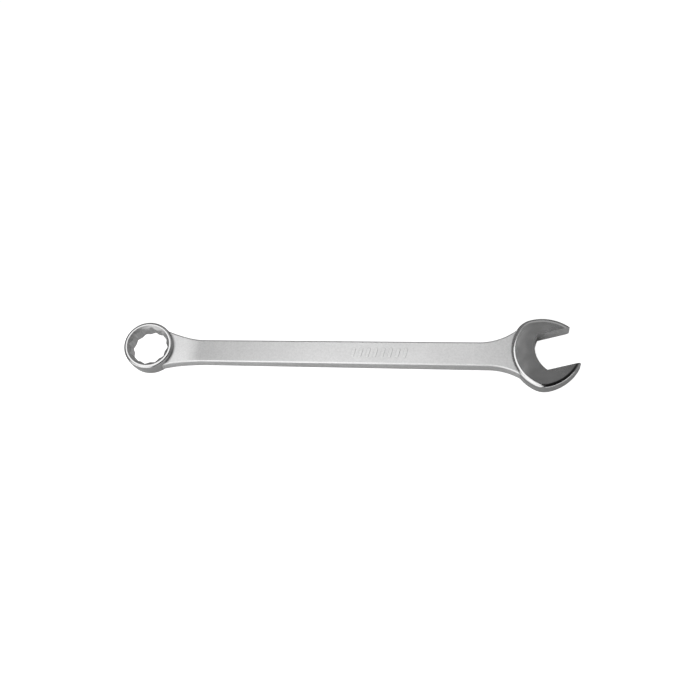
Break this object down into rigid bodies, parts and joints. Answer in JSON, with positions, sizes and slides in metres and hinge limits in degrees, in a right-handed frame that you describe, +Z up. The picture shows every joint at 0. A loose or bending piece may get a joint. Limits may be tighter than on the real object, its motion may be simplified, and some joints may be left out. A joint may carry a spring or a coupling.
{
  "type": "combination wrench",
  "caption": "Combination wrench with an open jaw set at an angle on one end of a flat shank and a raised, tilted twelve-point ring on the other.",
  "frame": {"origin": "centre of the bounding box in plan, on the plane that the open head's underside lies on", "axes": "+X along the shank from the ring to the jaws, +Y across the shank towards the side the jaws turn to, +Z up out of the face that the ring is raised towards"},
  "size_m": [0.3161, 0.0472, 0.0253],
  "materials": {
    "satin_chrome": "satin chrome plate over a blasted forging",
    "polished_chrome": "polished chrome plate"
  },
  "bodies": {
    "root": {"shank": "satin_chrome", "open_neck": "satin_chrome", "ring_neck": "satin_chrome", "raised_bars": "satin_chrome", "open_head": "polished_chrome", "ring": "polished_chrome"}
  },
  "joints": []
}
